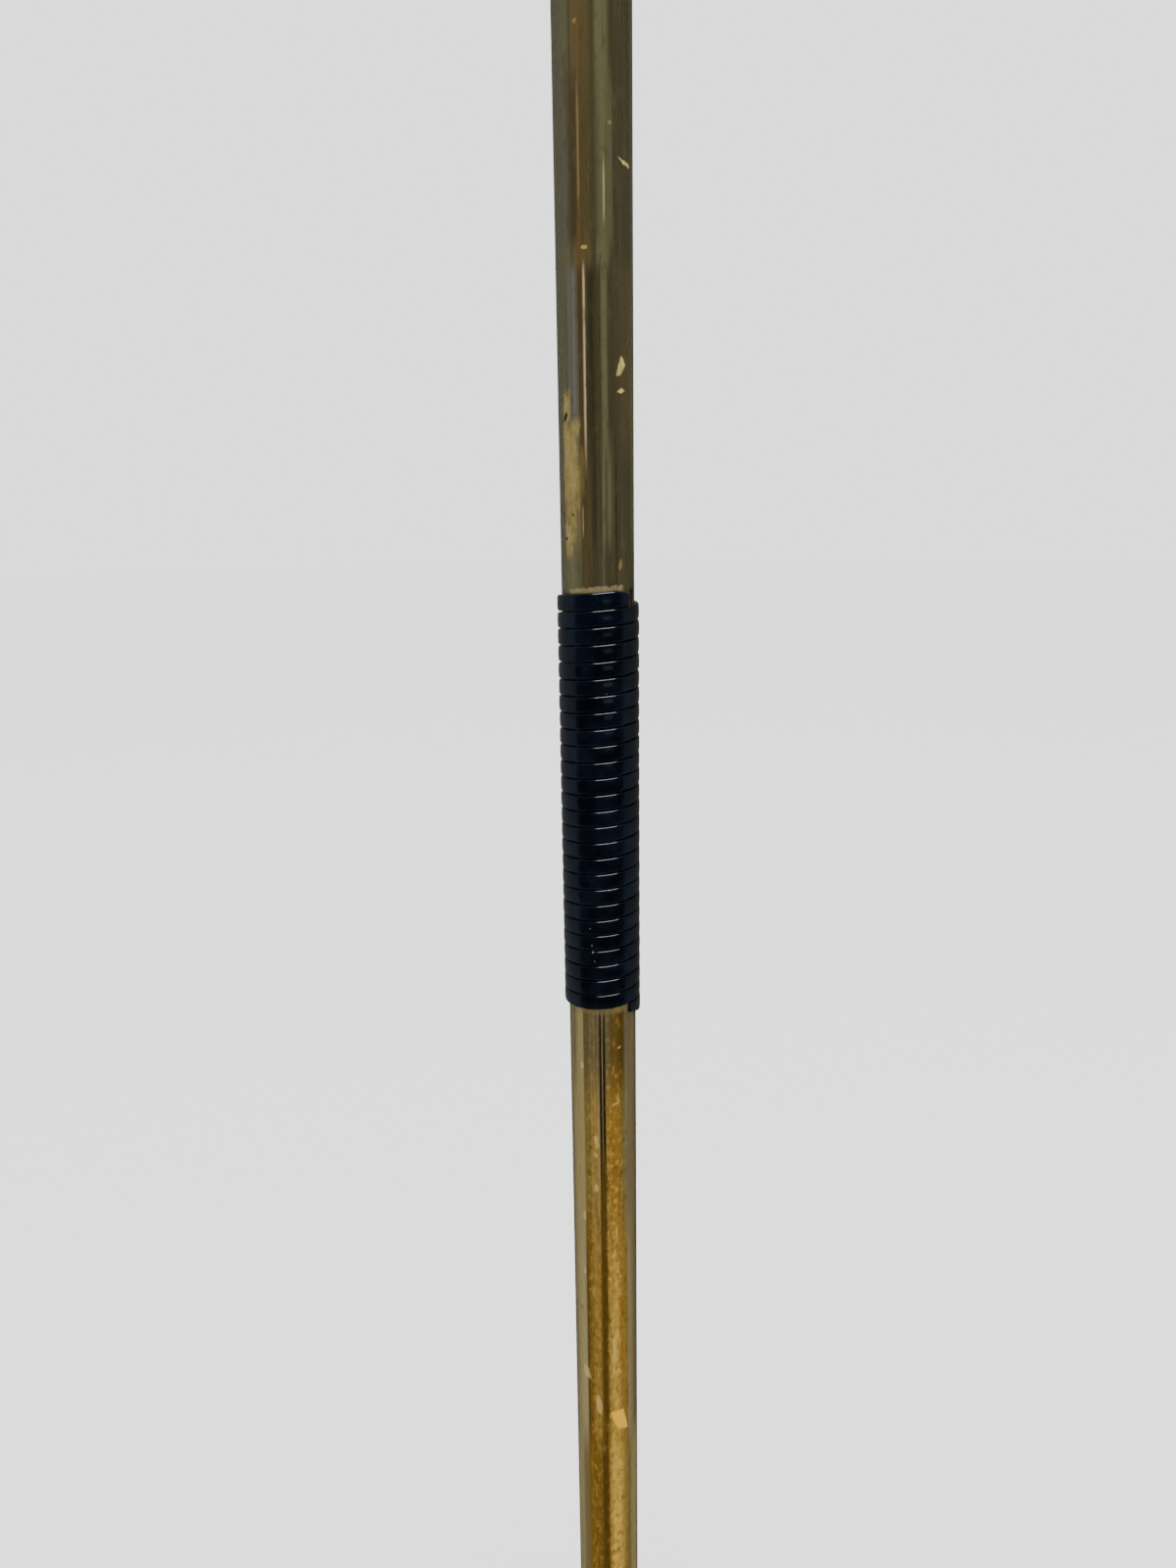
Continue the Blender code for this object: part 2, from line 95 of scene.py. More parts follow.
# ---------------------------------------------------------------- a short way to write node trees
class Graph:
    """Builds the nodes of a material or world. Values are sockets or plain numbers."""

    def __init__(self, owner, space="Object"):
        owner.use_nodes = True
        self.owner = owner
        self.tree = owner.node_tree
        self.x, self.y, self.z = self.split(self.node("ShaderNodeTexCoord").outputs[space])

    def node(self, kind, **settings):
        made = self.tree.nodes.new(kind)
        for key, value in settings.items():
            setattr(made, key, value)
        return made

    def plug(self, value, socket):
        if isinstance(value, bpy.types.NodeSocket):
            self.tree.links.new(value, socket)
        elif isinstance(value, (tuple, list)) and len(value) == 3 and socket.type == "RGBA":
            socket.default_value = (*value, 1.0)
        else:
            socket.default_value = value

    def split(self, vector):
        made = self.node("ShaderNodeSeparateXYZ")
        self.plug(vector, made.inputs[0])
        return made.outputs[0], made.outputs[1], made.outputs[2]

    def join(self, x, y, z):
        made = self.node("ShaderNodeCombineXYZ")
        for value, socket in zip((x, y, z), made.inputs):
            self.plug(value, socket)
        return made.outputs[0]

    def math(self, operation, a, b=0.0, c=0.0):
        made = self.node("ShaderNodeMath", operation=operation)
        for value, socket in zip((a, b, c), made.inputs):
            self.plug(value, socket)
        return made.outputs[0]

    def add(self, a, b):
        return self.math("ADD", a, b)

    def sub(self, a, b):
        return self.math("SUBTRACT", a, b)

    def mul(self, a, b):
        return self.math("MULTIPLY", a, b)

    def most(self, a, b):
        return self.math("MAXIMUM", a, b)

    def absolute(self, a):
        return self.math("ABSOLUTE", a)

    def length(self, a, b):
        return self.math("SQRT", self.add(self.mul(a, a), self.mul(b, b)))

    def fused(self, a, b, c):
        """a times b, plus c."""
        return self.math("MULTIPLY_ADD", a, b, c)

    def degrees_right(self):
        """Angle round the post's axis, in degrees to the right of the front."""
        return self.mul(self.math("ARCTAN2", self.x, self.mul(self.y, -1.0)), 180 / math.pi)

    def step(self, value, start, end, low=0.0, high=1.0):
        """Smooth change from low to high as value goes from start to end."""
        made = self.node("ShaderNodeMapRange", interpolation_type="SMOOTHSTEP")
        for item, socket in zip((value, start, end, low, high), made.inputs):
            self.plug(item, socket)
        return made.outputs[0]

    def noise(self, vector, scale, detail, roughness):
        made = self.node("ShaderNodeTexNoise")
        self.plug(vector, made.inputs["Vector"])
        for key, value in (("Scale", scale), ("Detail", detail), ("Roughness", roughness)):
            self.plug(value, made.inputs[key])
        return made.outputs["Fac"]

    def cells(self, vector, scale):
        made = self.node("ShaderNodeTexVoronoi", feature="F1")
        self.plug(vector, made.inputs["Vector"])
        self.plug(scale, made.inputs["Scale"])
        return made.outputs["Distance"]

    def scaled(self, sx, sy, sz, shift=0.0):
        """Coordinates stretched along each axis."""
        return self.join(self.fused(self.x, sx, shift), self.mul(self.y, sy), self.fused(self.z, sz, shift))

    def mix(self, share, a, b):
        made = self.node("ShaderNodeMix", data_type="RGBA")
        self.plug(share, made.inputs["Factor"])
        colours = [s for s in made.inputs if s.type == "RGBA"]
        self.plug(a, colours[0])
        self.plug(b, colours[1])
        return [s for s in made.outputs if s.type == "RGBA"][0]

    def ramp(self, value, *stops):
        made = self.node("ShaderNodeValToRGB")
        band = made.color_ramp
        while len(band.elements) < len(stops):
            band.elements.new(0.5)
        for element, (place, colour) in zip(band.elements, stops):
            element.position = place
            element.color = (*colour, 1.0)
        self.plug(value, made.inputs[0])
        return made.outputs["Color"]

    def bump(self, height, distance, strength):
        made = self.node("ShaderNodeBump")
        self.plug(height, made.inputs["Height"])
        self.plug(distance, made.inputs["Distance"])
        self.plug(strength, made.inputs["Strength"])
        return made.outputs["Normal"]

    def set(self, **values):
        """Plugs values into the Principled shader's sockets."""
        shader = self.tree.nodes["Principled BSDF"]
        for key, value in values.items():
            self.plug(value, shader.inputs[key.replace("_", " ")])


def material_graph(name):
    return Graph(bpy.data.materials.new(name))


# ---------------------------------------------------------------- colours
ASH = (0.094, 0.081, 0.050)
MOSS = (0.052, 0.047, 0.020)
OLIVE = (0.098, 0.090, 0.045)
REED = (0.118, 0.110, 0.052)
UMBER = (0.058, 0.045, 0.022)
BARK = (0.080, 0.060, 0.024)
COPPER = (0.120, 0.072, 0.026)
RUST = (0.075, 0.042, 0.018)
# near black: soot, grit and pits, and also the painted reflection of dark lines below the grip
SOOT_AND_DARK_REFLECTION = (0.016, 0.012, 0.007)
STONE = (0.135, 0.122, 0.100)
CREAM = (0.490, 0.395, 0.222)
DRAB = (0.152, 0.114, 0.050)
TAN = (0.262, 0.200, 0.078)
OCHRE = (0.170, 0.112, 0.022)
GOLD = (0.300, 0.200, 0.058)
HONEY = (0.270, 0.155, 0.028)
AMBER = (0.255, 0.130, 0.016)
SYRUP = (0.075, 0.040, 0.004)
LIGHT_GOLD = (0.620, 0.365, 0.056)
ALMOND = (0.165, 0.125, 0.074)
PEAT = (0.030, 0.024, 0.013)
HUSK = (0.112, 0.085, 0.040)
WALNUT = (0.098, 0.058, 0.011)
PECAN = (0.100, 0.070, 0.026)
CARAMEL = (0.176, 0.088, 0.006)
STRAW = (0.300, 0.232, 0.096)
MARIGOLD = (0.440, 0.260, 0.045)
RUBBED = (0.640, 0.430, 0.130)


# ---------------------------------------------------------------- places on the tube
def bands(g, arc, *stops):
    """Colours round the front half of the tube, at angles in degrees to the right of the front."""
    return g.ramp(g.fused(arc, 1 / 180, 0.5),
                  *[(angle / 180 + 0.5, colour) for angle, colour in stops])


def levels(g, z, *rows):
    """Blends colours from one height to the next; rows go down, each with its height."""
    (top, colour), rest = rows[0], rows[1:]
    for height, lower in rest:
        colour = g.mix(g.step(z, top, height), colour, lower)
        top = height
    return colour


def zone(g, arc, z, left, right, bottom, top, soft=1.2, fade=0.002):
    """Mask of a stretch of the tube between two angles and two heights, with soft edges."""
    across = g.mul(g.step(arc, left - soft, left + soft), g.step(arc, right + soft, right - soft))
    return g.mul(across, g.mul(g.step(z, bottom - fade, bottom + fade), g.step(z, top + fade, top - fade)))


def scuff(g, arc, z, angle, height, across, along, slope=0.0):
    """Mask of one worn spot: half sizes in degrees and metres, sloping down to the right."""
    du = g.mul(g.sub(arc, angle), 1.0 / across)
    dz = g.mul(g.sub(g.fused(g.sub(arc, angle), slope, z), height), 1.0 / along)
    return g.step(g.length(du, dz), 1.1, 0.8)


def chip(g, arc, z, *corners, soft=0.16):
    """Mask of a straight-sided worn spot: corners in degrees and metres, clockwise as seen from outside."""
    mask = 1.0
    for (a0, z0), (a1, z1) in zip(corners, corners[1:] + corners[:1]):
        across, along = (a1 - a0) * MM_PER_DEGREE, (z1 - z0) * 1000.0
        length = math.hypot(across, along)
        east, north = along / length, -across / length
        offset = -(east * a0 * MM_PER_DEGREE + north * z0 * 1000.0)
        inside = g.fused(arc, east * MM_PER_DEGREE, g.fused(z, north * 1000.0, offset))
        mask = g.mul(g.step(inside, -soft, soft), mask)
    return mask


def quiet_sides(g, arc):
    """Strength of the fine texture: full in front and behind, weak where the sides turn away."""
    turn = g.absolute(arc)
    return g.most(g.step(turn, 64.0, 40.0, 0.2, 1.0), g.step(turn, 84.0, 110.0))


def wrapped(g, arc, front, behind):
    """One colour in front, turning into another past the sides."""
    return g.mix(g.step(g.absolute(arc), 66.0, 92.0), front, behind)


def layer(g, colour, share, mask, tint):
    """The colour with a share of a tint where the mask is."""
    return g.mix(g.mul(mask, share), colour, tint)


def any_of(g, masks):
    """Where at least one of the masks is."""
    total = masks[0]
    for mask in masks[1:]:
        total = g.most(total, mask)
    return total


def zones(g, arc, z, *stretches):
    return any_of(g, [zone(g, arc, z, *stretch) for stretch in stretches])


def scuffs(g, arc, z, *spots):
    return any_of(g, [scuff(g, arc, z, *spot) for spot in spots])


def chips(g, arc, z, *outlines):
    return any_of(g, [chip(g, arc, z, *outline) for outline in outlines])


# ---------------------------------------------------------------- the tube's brass
def tarnish_and_reflections(g, arc, z, streak, grit):
    """Above the grip: dull olive and umber streaks along the tube, one coppery, one pale; the streaks in
    front are partly painted reflections of the room, and the pale olive stripe right of the front is a
    painted reflection of a window.
    """
    # the front bands: patina mixed with painted reflections; the REED stripe right of the front is a painted
    # reflection of a window
    high = bands(g, arc, (-72, ASH), (-56, ASH), (-46, OLIVE), (-35, OLIVE), (-33.8, UMBER), (-32, HUSK),
                 (-28, HUSK), (-26, COPPER), (-22, COPPER), (-18, PECAN), (-9, PECAN), (0, MOSS), (5, REED),
                 (17, REED), (19, OLIVE), (25, MOSS), (45, UMBER), (60, MOSS), (72, ASH))
    upper = bands(g, arc, (-72, ASH), (-45, ASH), (-33, UMBER), (-26, RUST), (-23.5, COPPER), (-22, COPPER),
                  (-19, BARK), (-8, BARK), (0, UMBER), (7, OLIVE), (12, REED), (16, REED), (18, OLIVE),
                  (26.5, OLIVE), (27.8, UMBER), (45, UMBER), (60, UMBER), (72, ASH))
    middle = bands(g, arc, (-72, ASH), (-48, ASH), (-32, STONE), (-27, ASH), (-25.5, RUST), (-19.5, RUST),
                   (-18.4, ALMOND), (-16.9, CREAM), (-15.8, CREAM), (-14.4, UMBER), (-6, PEAT), (2, MOSS),
                   (7, MOSS), (9, REED), (14, REED), (16.5, OLIVE), (18.5, MOSS), (28, UMBER), (58, BARK),
                   (72, ASH))
    lower = bands(g, arc, (-72, ASH), (-45, ASH), (-33, DRAB), (-28, DRAB), (-23, BARK), (-20, RUST),
                  (-13, BARK), (-9, MOSS), (-4, PEAT), (0, MOSS), (6, MOSS), (8.5, REED), (11.5, REED),
                  (13, MOSS),
                  (17, REED), (21, OLIVE), (28, MOSS), (29.5, SOOT_AND_DARK_REFLECTION), (31.5, UMBER), (58, MOSS), (74, OLIVE))
    last = bands(g, arc, (-72, ASH), (-55, OLIVE), (-42, REED), (-30, OLIVE), (-23, BARK), (-18, BARK),
                 (-8, UMBER), (-3, UMBER), (3, MOSS), (8.5, OLIVE), (12, MOSS), (18, MOSS), (28, UMBER),
                 (29.5, PEAT), (31.5, UMBER), (45, MOSS), (60, UMBER), (74, MOSS))
    front = levels(g, z, (0.800, high), (0.775, upper), (0.745, upper), (0.738, high), (0.731, middle),
                   (0.690, middle), (0.668, lower), (0.655, lower), (0.643, last))
    behind = g.ramp(streak, (0.30, UMBER), (0.42, MOSS), (0.52, OLIVE), (0.62, BARK), (0.72, OLIVE))
    colour = wrapped(g, arc, front, behind)
    bold = quiet_sides(g, arc)
    lines = g.noise(g.scaled(1, 1, 0.012, 5.0), 1000.0, 2.0, 0.6)
    colour = layer(g, colour, bold, g.step(lines, 0.54, 0.70, 0.0, 0.32), REED)
    colour = layer(g, colour, bold, g.step(lines, 0.46, 0.32, 0.0, 0.42), UMBER)
    smear = g.noise(g.scaled(1, 1, 0.35, 4.0), 260.0, 4.0, 0.66)
    colour = layer(g, colour, bold, g.step(smear, 0.54, 0.70, 0.0, 0.40), OLIVE)
    colour = layer(g, colour, bold, g.step(smear, 0.46, 0.32, 0.0, 0.50), UMBER)
    return layer(g, colour, bold, g.step(grit, 0.66, 0.80, 0.0, 0.25), SOOT_AND_DARK_REFLECTION)


def warm_brass_and_reflections(g, arc, z, streak, grit, fine):
    """Below the grip: golden brass, a pair of dark lines in front, tan sides. The pair of dark lines and the
    line under it are painted reflections, and the front bands are partly painted reflections of the room.
    """
    upper = bands(g, arc, (-72, DRAB), (-56, DRAB), (-50, TAN), (-38, TAN), (-36, PECAN), (-27, PECAN),
                  (-24, DRAB), (-20, HUSK), (-12, HUSK), (-7, DRAB), (-1, TAN), (3, HUSK), (9, HUSK),
                  (12, WALNUT), (26, WALNUT), (28, SYRUP), (36, SYRUP), (39, HUSK), (60, DRAB), (76, BARK))
    middle = bands(g, arc, (-72, DRAB), (-60, TAN), (-38, TAN), (-36, OCHRE), (-25, OCHRE), (-22.5, GOLD),
                   (-20, HONEY), (-12, GOLD), (-8, TAN), (-2, OCHRE), (5, HONEY), (12, AMBER), (27, AMBER),
                   (29, OCHRE), (36, OCHRE), (40, DRAB), (60, DRAB), (76, BARK))
    lower = bands(g, arc, (-72, DRAB), (-60, TAN), (-50, STRAW), (-40, STRAW), (-36, SYRUP), (-28, CARAMEL),
                  (-20, HONEY), (-12, HONEY), (-7.5, CARAMEL), (0, SYRUP), (5, HONEY), (11, MARIGOLD),
                  (21, MARIGOLD), (28, AMBER), (36, AMBER), (42, OCHRE), (45, TAN), (60, DRAB), (76, PECAN))
    bottom = bands(g, arc, (-72, TAN), (-56, TAN), (-50, DRAB), (-42, OCHRE), (-36, CARAMEL), (-16, CARAMEL),
                   (-9, SYRUP), (-1, SYRUP), (3, AMBER), (7, MARIGOLD), (12, LIGHT_GOLD), (22, LIGHT_GOLD),
                   (29, MARIGOLD), (34, HONEY), (41, OCHRE), (47, OCHRE), (53, TAN), (68, TAN), (78, DRAB))
    front = levels(g, z, (0.462, upper), (0.432, middle), (0.410, middle), (0.360, lower), (0.296, lower),
                   (0.270, bottom))
    behind = g.ramp(streak, (0.28, SYRUP), (0.42, OCHRE), (0.52, HONEY), (0.62, TAN), (0.74, AMBER))
    colour = wrapped(g, arc, front, behind)
    bold = quiet_sides(g, arc)
    lines = g.noise(g.scaled(1, 1, 0.015, 6.0), 900.0, 2.0, 0.6)
    colour = layer(g, colour, bold, g.step(lines, 0.56, 0.72, 0.0, 0.28), GOLD)
    colour = layer(g, colour, bold, g.step(lines, 0.45, 0.30, 0.0, 0.32), SYRUP)
    cloud = g.noise(g.scaled(1, 1, 0.7, 2.0), 330.0, 5.0, 0.7)
    near = g.step(g.add(g.absolute(g.sub(arc, 5.0)), g.mul(streak, 20.0)), 54.0, 42.0)
    down = g.step(z, 0.455, 0.415, 0.15, 1.0)
    colour = layer(g, colour, g.mul(near, down), g.step(cloud, 0.52, 0.68, 0.0, 0.55), GOLD)
    colour = layer(g, colour, g.mul(near, down), g.step(cloud, 0.47, 0.33, 0.0, 0.60), SYRUP)
    # painted glints: light gold specks where rough brass would sparkle, mostly near the front and low down
    glint_flecks = g.step(g.add(grit, g.mul(fine, 0.30)), 0.76, 0.86)
    colour = g.mix(g.mul(glint_flecks, g.mul(g.add(near, 0.10), g.mul(down, 0.50))), colour, LIGHT_GOLD)
    # painted reflection: a pair of dark lines down the front, near black fading to brown lower down
    reflected_twin_line = g.most(zone(g, arc, g.z, -7.8, -3.5, 0.380, 0.490, 0.5, 0.025),
                    zone(g, arc, g.z, -1.9, 2.4, 0.400, 0.490, 0.5, 0.030))
    colour = layer(g, colour, 1.0, reflected_twin_line, g.mix(g.step(z, 0.400, 0.350), SOOT_AND_DARK_REFLECTION, SYRUP))
    # painted reflection: one wavy dark line further down, carrying on from the pair
    wavy = g.fused(g.sub(cloud, 0.5), 14.0, arc)
    reflected_dark_line = g.most(zone(g, wavy, z, -7.8, 2.2, 0.295, 0.418, 1.0, 0.010),
                    zone(g, wavy, z, -10.0, 0.8, 0.100, 0.277, 1.4, 0.003))
    colour = layer(g, colour, 0.95, reflected_dark_line, g.mix(g.step(cloud, 0.40, 0.62), SYRUP, (0.100, 0.052, 0.005)))
    return g.mix(g.step(z, 0.4768, 0.4785, 0.0, 0.50), colour, TAN)


def dimple_glints_and_shade(g, colour, arc, z):
    """Dimples in the lacquer, low on the front: painted highlights on their tops and painted shade in their
    hollows.
    """
    dimple = g.noise(g.scaled(1, 1, 0.55, 4.4), 640.0, 3.0, 0.6)
    front = zone(g, arc, z, -33, 31, 0.100, 0.450, 3.0, 0.070)
    # painted highlights on the dimple tops, left and right of the dark line, then painted shade in the
    # hollows
    lit_dimples = g.mul(front, g.step(dimple, 0.53, 0.66))
    colour = layer(g, colour, 0.36, g.mul(lit_dimples, g.step(arc, -9.0, -12.0)), (0.520, 0.320, 0.075))
    colour = layer(g, colour, 0.50, g.mul(lit_dimples, g.step(arc, 2.0, 6.0)), (0.800, 0.480, 0.085))
    return layer(g, colour, 0.50, g.mul(front, g.step(dimple, 0.48, 0.34)), (0.120, 0.062, 0.008))


def worn_patch(g, torn, z):
    """Mask of the big worn patch at the upper left."""
    return zones(g, torn, z, (-58, -42, 0.688, 0.6975, 2.5), (-58, -26, 0.6835, 0.6885, 3.0),
                 (-58, -31, 0.672, 0.685, 3.5), (-58, -27, 0.661, 0.674, 3.0),
                 (-57, -35, 0.650, 0.664, 3.5), (-56, -42, 0.645, 0.652, 3.5))


def stripes(g, colour, arc, torn, z):
    """Short stripes above the grip: a brown one beside the worn patch, and three pale ones."""
    colour = layer(g, colour, 0.60, zone(g, torn, z, -26, -19, 0.665, 0.680, 2.5), (0.170, 0.118, 0.036))
    colour = layer(g, colour, 0.65, zone(g, arc, z, 12.8, 15.0, 0.7485, 0.7640, 0.7, 0.004), CREAM)
    left = zone(g, arc, z, -23.5, -21.0, 0.7530, 0.7850, 0.8, 0.006)
    colour = layer(g, colour, 0.45, left, (0.330, 0.220, 0.110))
    return layer(g, colour, 0.55, zone(g, arc, z, -22.8, -21.4, 0.6520, 0.6610, 0.6, 0.002), CREAM)


def grip_rim_and_shade(g, colour, arc, grit):
    """Above the grip's upper edge, a rubbed rim that climbs with the strip, and painted shade under it where
    the tube meets the strip.
    """
    climb = g.fused(arc, -STRIP_PITCH / 360, g.z)
    ragged = g.fused(g.sub(grit, 0.5), 0.0042, climb)
    rim = zone(g, arc, ragged, -50, 41, 0.6325, 0.6347, 4.0, 0.0005)
    colour = layer(g, colour, 0.75, rim, (0.330, 0.250, 0.125))
    # painted shade: the tube darkened next to the strip's upper edge
    return layer(g, colour, 0.65, zone(g, arc, g.z, -90, 90, 0.6200, 0.6327, 1.0, 0.0004), UMBER)


def bright_chips(g, torn, z):
    """Mask of the bright chips at the upper right."""
    return chips(g, torn, z,
                 ((30, 0.7055), (38, 0.7088), (57, 0.7042), (48, 0.7030), (39, 0.7024), (34, 0.7008),
                  (28, 0.7012), (31, 0.7030)),
                 ((32, 0.6972), (42, 0.6986), (47, 0.6976), (40, 0.6968)),
                 ((36, 0.7662), (60, 0.7650), (62, 0.7638), (46, 0.7645)))


def rubbed_spots(g, torn, z):
    """Mask of the smaller rubbed spots, nearly all below the grip."""
    angular = chips(g, torn, z,
                    ((-20, 0.4262), (-13, 0.4270), (-9, 0.4225), (-15, 0.4205)),
                    ((-19, 0.4195), (-12, 0.4186), (-14, 0.4170), (-20, 0.4178)),
                    ((-21, 0.4042), (-13, 0.4055), (-10, 0.4030), (-17, 0.4018)),
                    ((10, 0.3338), (18, 0.3370), (21, 0.3360), (17, 0.3290), (12, 0.3262)),
                    ((8, 0.3262), (14, 0.3275), (22, 0.3240), (12, 0.3222)),
                    ((10, 0.3190), (24, 0.3192), (20, 0.3165), (12, 0.3168)),
                    ((-48, 0.3200), (-34, 0.3182), (-31, 0.3135), (-46, 0.3140)),
                    ((-22, 0.3062), (-16, 0.3068), (-9, 0.3020), (-11, 0.2972), (-20, 0.2985)),
                    ((14, 0.4402), (26, 0.4408), (27, 0.4402), (15, 0.4394)))
    round_spots = scuffs(g, torn, z, (-15.0, 0.7402, 5.0, 0.0006), (-40.0, 0.4555, 4.0, 0.0014),
                         (-40.0, 0.3900, 3.0, 0.0022), (-41.0, 0.3645, 2.6, 0.0016),
                         (28.0, 0.4635, 3.0, 0.0004))
    return g.most(angular, round_spots)


def knock(g, arc, z):
    """Mask of the knocked spot low on the front."""
    return chip(g, arc, z, (6, 0.2990), (32, 0.2988), (36, 0.2940), (42, 0.2885), (22, 0.2895), (11, 0.2938),
                soft=0.3)


def pits_and_shadow(g, arc, torn, z):
    """Mask of the pits, and of a painted shadow beside the strip's upper end, where that end stands off the
    tube.
    """
    ragged = scuffs(g, torn, z, (-53.0, 0.6898, 4.5, 0.0013, -0.00014), (-47.0, 0.6965, 1.5, 0.0003),
                    (-61.0, 0.6592, 3.0, 0.0005), (-40.0, 0.6585, 3.0, 0.0004), (-55.0, 0.6507, 2.2, 0.0006))
    clean = scuffs(g, arc, z, (30.5, 0.2675, 2.5, 0.0004), (-53.0, 0.3463, 8.0, 0.0003, 0.00005))
    # painted shadow cast on the tube by the strip's upper end
    strip_end_shadow = chip(g, arc, z, (55, 0.6334), (73, 0.6342), (66, 0.6280), (62, 0.6280))
    return g.most(g.most(ragged, clean), strip_end_shadow)


def tube_brass():
    g = material_graph("tube_brass")
    turn = g.degrees_right()
    fine = g.noise(g.scaled(1, 1, 1), 1500.0, 4.0, 0.65)
    grit = g.noise(g.scaled(1, 1, 0.8), 620.0, 4.0, 0.7)
    streak = g.noise(g.scaled(1, 1, 0.02), 330.0, 4.0, 0.6)
    drift = g.noise(g.join(0.0, 0.0, g.z), 30.0, 2.0, 0.5)
    blotch = g.noise(g.scaled(1, 1, 0.5, 9.0), 300.0, 5.0, 0.7)
    waves = g.noise(g.scaled(1, 1, 0.5, 7.7), 60.0, 2.0, 0.5)
    # angles with slightly wavy edges and with torn edges, and the height with rough edges
    arc = g.add(turn, g.add(g.mul(g.sub(drift, 0.5), 1.2), g.mul(g.sub(fine, 0.5), 0.5)))
    torn = g.add(turn, g.mul(g.sub(grit, 0.5), 11.0))
    z = g.fused(g.sub(grit, 0.5), 0.0022, g.z)
    below_grip = g.step(g.z, 0.500, 0.480)
    # the front of the tube carries painted reflections both above and below the grip
    colour = g.mix(below_grip, tarnish_and_reflections(g, arc, z, streak, grit), warm_brass_and_reflections(g, arc, z, streak, grit, fine))
    # painted highlights and shade on dimples low on the front
    colour = dimple_glints_and_shade(g, colour, arc, z)
    patch = worn_patch(g, torn, z)
    golden = g.ramp(blotch, (0.32, (0.150, 0.105, 0.038)), (0.46, (0.260, 0.190, 0.062)),
                    (0.58, (0.330, 0.245, 0.085)), (0.72, (0.440, 0.330, 0.120)))
    crumbs = g.step(g.add(grit, g.mul(fine, 0.3)), 0.81, 0.85)
    colour = layer(g, colour, 0.90, g.mul(patch, g.sub(1.0, crumbs)), golden)
    colour = stripes(g, colour, arc, torn, z)
    colour = grip_rim_and_shade(g, colour, arc, grit)
    bright = bright_chips(g, torn, z)
    bare = g.mix(g.step(blotch, 0.4, 0.6), (0.480, 0.380, 0.105), (0.700, 0.600, 0.200))
    colour = layer(g, colour, 0.92, bright, bare)
    colour = layer(g, colour, 0.60, rubbed_spots(g, torn, z), RUBBED)
    faint = scuffs(g, torn, z, (-25.0, 0.8028, 3.0, 0.0006), (24.0, 0.7755, 3.0, 0.0006),
                   (37.0, 0.6420, 3.0, 0.0018))
    colour = layer(g, colour, 0.26, faint, RUBBED)
    knocked = knock(g, arc, z)
    colour = layer(g, colour, 0.92, knocked, (0.980, 0.520, 0.035))
    # near black pits, and a painted shadow beside the strip's upper end
    colour = layer(g, colour, 0.93, pits_and_shadow(g, arc, torn, z), (0.008, 0.007, 0.005))
    worn = g.most(g.most(bright, knocked), g.mul(patch, 0.7))
    g.set(Base_Color=colour, Metallic=0.42, Specular_Tint=(0.55, 0.52, 0.45, 1.0))
    g.set(Roughness=g.sub(g.step(streak, 0.3, 0.7, 0.25, 0.30), g.mul(worn, 0.04)))
    g.set(Coat_Weight=0.12, Coat_Roughness=0.12)
    g.set(Normal=g.bump(g.sub(waves, g.mul(worn, 0.12)), 0.00015, 0.30))
    return g.owner


# ---------------------------------------------------------------- the other materials
def turned_brass(name, dark, main, light, shift):
    """Brass turned or spun on a lathe: faint rings round the axis, tarnished in clouds, rubbed spots, pits.
    """
    g = material_graph(name)
    ring_place = g.join(g.fused(g.x, 0.04, shift), g.mul(g.y, 0.04), g.add(g.z, g.length(g.x, g.y)))
    rings = g.noise(ring_place, 900.0, 3.0, 0.7)
    wide_rings = g.noise(ring_place, 120.0, 3.0, 0.6)
    grit = g.noise(g.scaled(1, 1, 1), 520.0, 4.0, 0.72)
    cloud = g.noise(g.scaled(1, 1, 1, shift), 30.0, 9.0, 0.72)
    tone = g.add(g.mul(cloud, 0.50), g.add(g.mul(wide_rings, 0.32), g.mul(grit, 0.18)))
    colour = g.ramp(tone, (0.36, dark), (0.47, main), (0.56, main), (0.68, light))
    colour = g.mix(g.step(rings, 0.50, 0.72, 0.0, 0.35), colour, light)
    colour = g.mix(g.step(rings, 0.45, 0.30, 0.0, 0.30), colour, dark)
    colour = g.mix(g.step(grit, 0.64, 0.76, 0.0, 0.60), colour, dark)
    spots = g.step(g.cells(g.scaled(1, 1, 1, shift), 110.0), 0.09, 0.04, 0.0, 0.50)
    colour = g.mix(g.mul(spots, g.step(cloud, 0.45, 0.6)), colour, SOOT_AND_DARK_REFLECTION)
    g.set(Base_Color=colour, Metallic=g.step(tone, 0.40, 0.60, 0.60, 0.85))
    g.set(Specular_Tint=(0.7, 0.66, 0.55, 1.0))
    g.set(Roughness=g.sub(g.step(grit, 0.3, 0.8, 0.24, 0.44), g.mul(g.step(tone, 0.5, 0.7), 0.05)))
    g.set(Coat_Weight=0.2, Coat_Roughness=0.15)
    g.set(Normal=g.bump(g.add(g.mul(rings, 0.6), g.mul(grit, 0.4)), 0.00004, 0.45))
    return g.owner


def plain(name, colour_a, colour_b, scale, rough_a, rough_b, metallic, bump):
    """Iron, zinc, rubber or nylon: two close colours in clouds, and a fine rough skin."""
    g = material_graph(name)
    cloud = g.noise(g.scaled(1, 1, 1), scale, 4.0, 0.65)
    fine = g.noise(g.scaled(1, 1, 1, 1.7), scale * 7, 3.0, 0.6)
    g.set(Base_Color=g.mix(g.step(cloud, 0.35, 0.65), colour_a, colour_b), Metallic=metallic)
    g.set(Roughness=g.step(fine, 0.3, 0.7, rough_a, rough_b))
    g.set(Normal=g.bump(g.add(cloud, fine), bump, 0.6))
    return g.owner


